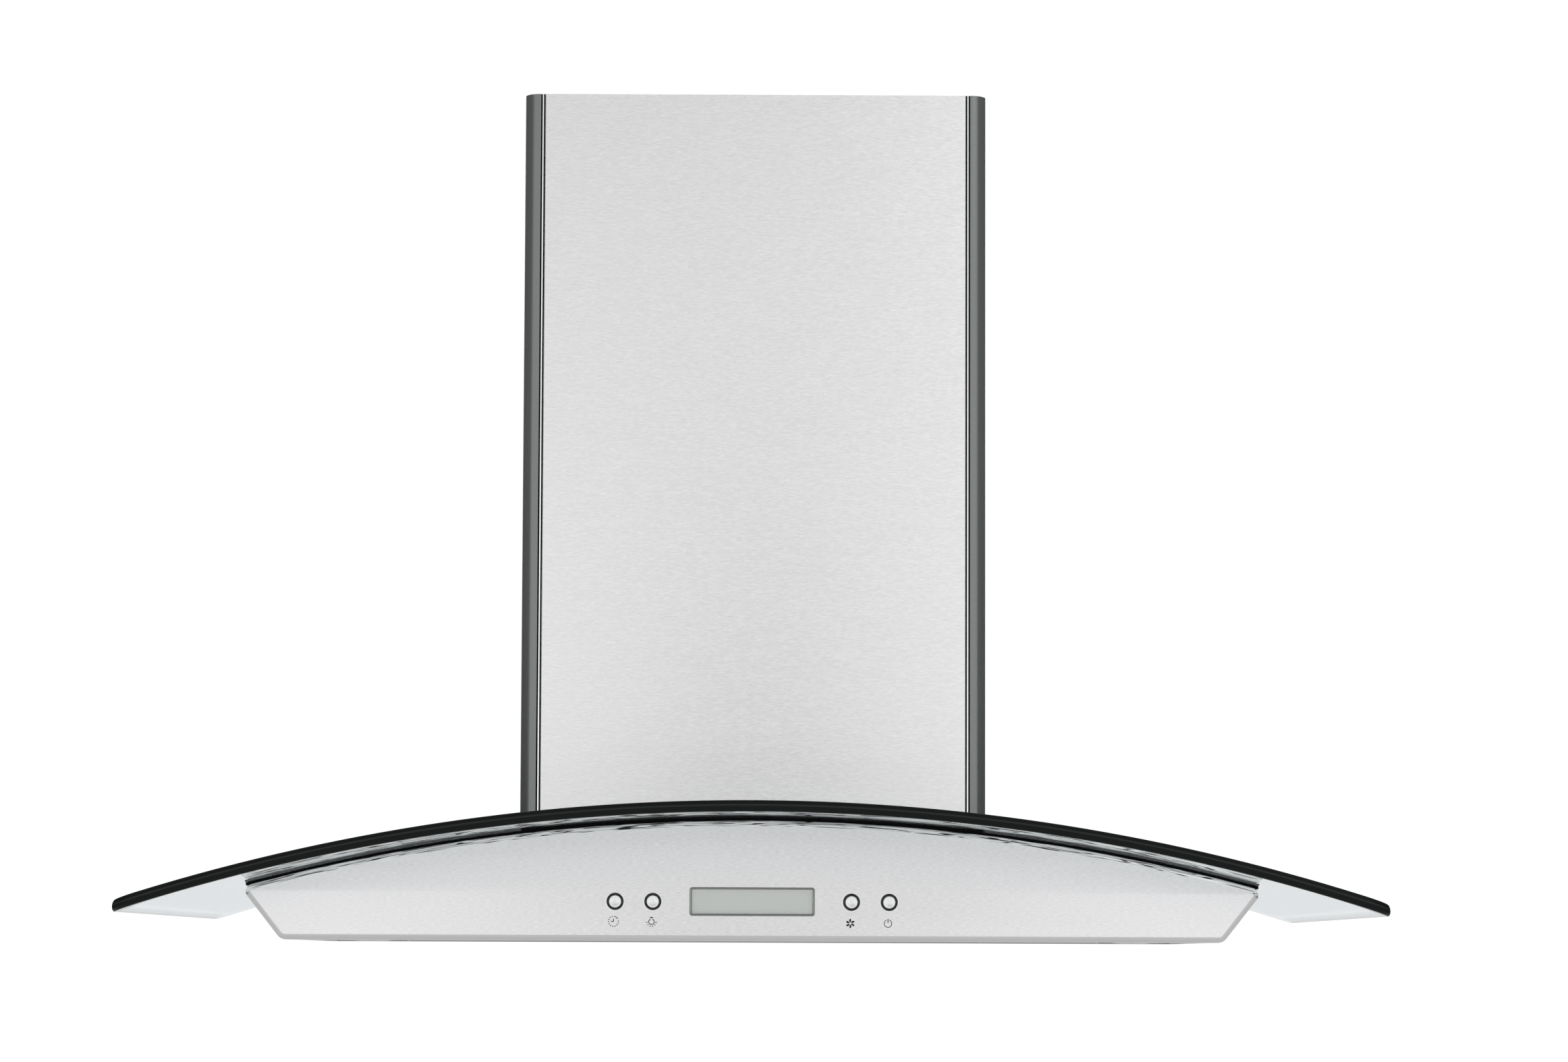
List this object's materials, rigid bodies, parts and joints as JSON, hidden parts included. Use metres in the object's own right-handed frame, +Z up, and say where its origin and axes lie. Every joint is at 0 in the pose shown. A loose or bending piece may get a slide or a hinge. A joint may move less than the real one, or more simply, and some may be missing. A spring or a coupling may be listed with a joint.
{
  "type": "island range hood",
  "caption": "Island range hood: arched glass canopy on a brushed steel body with buttons and a display, baffle filters and lamps below, hung from the ceiling by a telescopic chimney.",
  "frame": {"origin": "middle of the plan, at the height of the body's rim, which is the lowest point at rest", "axes": "+X along the canopy to the right of a person at the controls, -Y towards that person, +Z up"},
  "size_m": [0.9, 0.6, 0.63],
  "materials": {
    "canopy_glass": "clear tempered, polished edge",
    "body_steel": "brushed lengthways, satin",
    "chimney_steel": "brushed across, satin",
    "column_grey": "dark grey satin",
    "strip_bright": "polished",
    "frame_steel": "galvanised",
    "filter_steel": "brushed",
    "seal_rubber": "matt black",
    "black_plastic": "fine satin",
    "button_metal": "satin silver",
    "display_frame": "bright edge",
    "display_glass": "anti-glare",
    "display_lcd": "grey-green",
    "board_green": "solder mask",
    "lamp_aluminium": "die cast",
    "lamp_lens": "frosted",
    "motor_steel": "satin",
    "fan_plastic": "moulded",
    "bolt_steel": "zinc plated",
    "grey_plastic": "moulded"
  },
  "bodies": {
    "ceiling": {"ceiling_plate": "frame_steel", "upper_frame_posts": "frame_steel", "upper_frame_braces": "frame_steel", "upper_cover_front": "chimney_steel", "upper_cover_back": "chimney_steel"},
    "hood": {"glass_canopy": "canopy_glass", "glass_gasket": "seal_rubber", "front_panel": "body_steel", "back_panel": "body_steel", "side_panel_left": "body_steel", "side_panel_right": "body_steel", "body_top_plate": "body_steel", "bottom_frame": "body_steel", "lamp_bezels": "strip_bright", "lamp_lenses": "lamp_lens", "lamp_housings": "lamp_aluminium", "button_rings": "black_plastic", "display_bezel": "display_frame", "display_window": "display_glass", "display_module": "display_lcd", "control_board": "board_green", "control_cover": "black_plastic", "control_standoffs": "bolt_steel", "chimney_side_left": "column_grey", "chimney_side_right": "column_grey", "chimney_front_panel": "chimney_steel", "chimney_back_panel": "chimney_steel", "chimney_strips": "strip_bright", "chimney_seal": "seal_rubber", "chimney_screws": "bolt_steel", "lower_frame_posts": "frame_steel", "lower_frame_braces": "frame_steel", "foot_bolts": "bolt_steel", "frame_bolts": "bolt_steel", "glass_clips": "frame_steel", "glass_clip_pads": "seal_rubber", "blower_housing": "frame_steel", "inlet_rings": "grey_plastic", "blower_hangers": "frame_steel", "motor": "motor_steel", "motor_bracket": "frame_steel", "motor_mounts": "seal_rubber", "duct_collar": "grey_plastic", "damper_pin": "bolt_steel", "junction_box": "frame_steel", "cable_gland": "black_plastic"},
    "filter_left": {"filter_frame_left": "filter_steel", "filter_baffles_left": "filter_steel"},
    "filter_right": {"filter_frame_right": "filter_steel", "filter_baffles_right": "filter_steel"},
    "latch_left": {"filter_latch_left": "black_plastic"},
    "latch_right": {"filter_latch_right": "black_plastic"},
    "timer_button": {"timer_button": "button_metal"},
    "light_button": {"light_button": "button_metal"},
    "speed_button": {"speed_button": "button_metal"},
    "power_button": {"power_button": "button_metal"},
    "fan": {"impeller": "fan_plastic", "motor_shaft": "bolt_steel"},
    "damper_front": {"damper_flap_front": "grey_plastic"},
    "damper_back": {"damper_flap_back": "grey_plastic"}
  },
  "joints": [
    {"name": "height_adjust", "type": "slide", "parent": "ceiling", "child": "hood", "axis": [0, 0, -1], "range_m": [0, 0.3]},
    {"name": "filter_left_tilt", "type": "hinge", "parent": "hood", "child": "filter_left", "pos_m": [-0.135, 0.115, 0.006], "axis": [1, 0, 0], "range_deg": [0, 80]},
    {"name": "latch_left_slide", "type": "slide", "parent": "filter_left", "child": "latch_left", "axis": [0, 1, 0], "range_m": [0, 0.006], "stiffness_N_per_m": 300, "springref_m": -0.005},
    {"name": "filter_right_tilt", "type": "hinge", "parent": "hood", "child": "filter_right", "pos_m": [0.135, 0.115, 0.006], "axis": [1, 0, 0], "range_deg": [0, 80]},
    {"name": "latch_right_slide", "type": "slide", "parent": "filter_right", "child": "latch_right", "axis": [0, 1, 0], "range_m": [0, 0.006], "stiffness_N_per_m": 300, "springref_m": -0.005},
    {"name": "timer_button_press", "type": "slide", "parent": "hood", "child": "timer_button", "axis": [0, 1, 0], "range_m": [0, 0.0015], "stiffness_N_per_m": 1000, "springref_m": -0.001},
    {"name": "light_button_press", "type": "slide", "parent": "hood", "child": "light_button", "axis": [0, 1, 0], "range_m": [0, 0.0015], "stiffness_N_per_m": 1000, "springref_m": -0.001},
    {"name": "speed_button_press", "type": "slide", "parent": "hood", "child": "speed_button", "axis": [0, 1, 0], "range_m": [0, 0.0015], "stiffness_N_per_m": 1000, "springref_m": -0.001},
    {"name": "power_button_press", "type": "slide", "parent": "hood", "child": "power_button", "axis": [0, 1, 0], "range_m": [0, 0.0015], "stiffness_N_per_m": 1000, "springref_m": -0.001},
    {"name": "fan_spin", "type": "hinge", "parent": "hood", "child": "fan", "pos_m": [0, 0, 0.215], "axis": [1, 0, 0], "continuous": true},
    {"name": "damper_front_open", "type": "hinge", "parent": "hood", "child": "damper_front", "pos_m": [0, 0, 0.402], "axis": [-1, 0, 0], "range_deg": [0, 80]},
    {"name": "damper_back_open", "type": "hinge", "parent": "hood", "child": "damper_back", "pos_m": [0, 0, 0.402], "axis": [1, 0, 0], "range_deg": [0, 80]}
  ]
}
